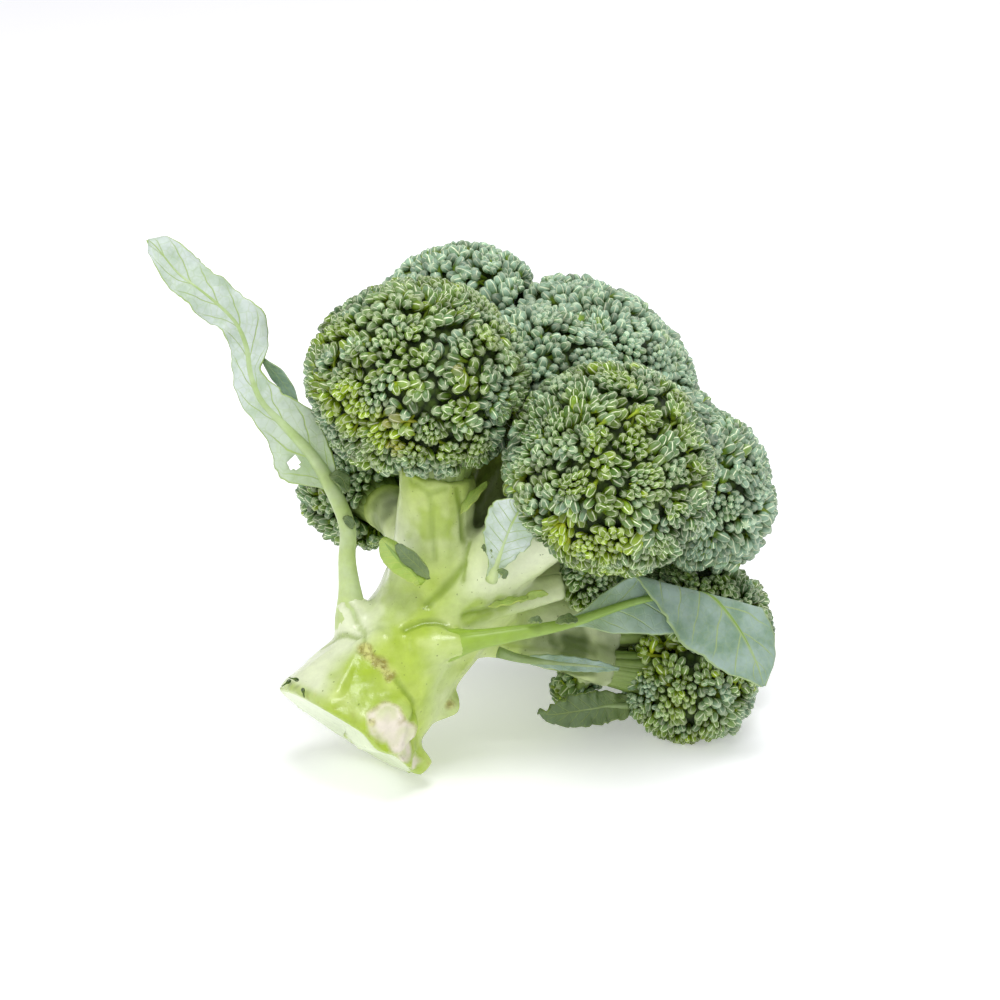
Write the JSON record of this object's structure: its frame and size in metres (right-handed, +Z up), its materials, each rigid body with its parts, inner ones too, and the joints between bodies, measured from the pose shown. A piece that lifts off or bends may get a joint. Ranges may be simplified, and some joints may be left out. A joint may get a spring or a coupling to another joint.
{
  "type": "broccoli head",
  "caption": "Fresh broccoli head lying on its side: a pale cut stalk that branches into domed florets of tight green buds, with a few leaves.",
  "frame": {"origin": "centre of the bounding box's bottom face, on the surface that the head rests on", "axes": "+Z up; -Y is the side seen in front; +X points from the cut end towards the florets that touch the surface"},
  "size_m": [0.1622, 0.1324, 0.131],
  "materials": {
    "stalk": "smooth waxy pale green skin, lime in places, whitish cut end",
    "buds": "small closed buds, dark green with a dusty blue-green bloom",
    "leaf": "blue-green waxy leaf with pale veins, paler underneath"
  },
  "bodies": {
    "root": {"stalk": "stalk", "floret_front_left": "buds", "floret_front_right": "buds", "floret_crown_top": "buds", "floret_top_left": "buds", "floret_right": "buds", "floret_lower_right": "buds", "floret_bottom_front": "buds", "floret_left_back": "buds", "floret_back_top": "buds", "floret_back": "buds", "floret_back_left": "buds", "floret_low_back": "buds", "floret_low_rear": "buds", "floret_middle": "buds", "floret_inner_right": "buds", "side_shoot_front": "buds", "side_shoot_low": "buds", "leaf_long_left": "leaf", "leaf_small_pale": "leaf", "leaf_curled_stub": "leaf", "leaf_narrow_low": "leaf", "leaf_low_tip": "leaf", "leaf_behind_left": "leaf", "leaf_folded_right": "leaf"}
  },
  "joints": []
}
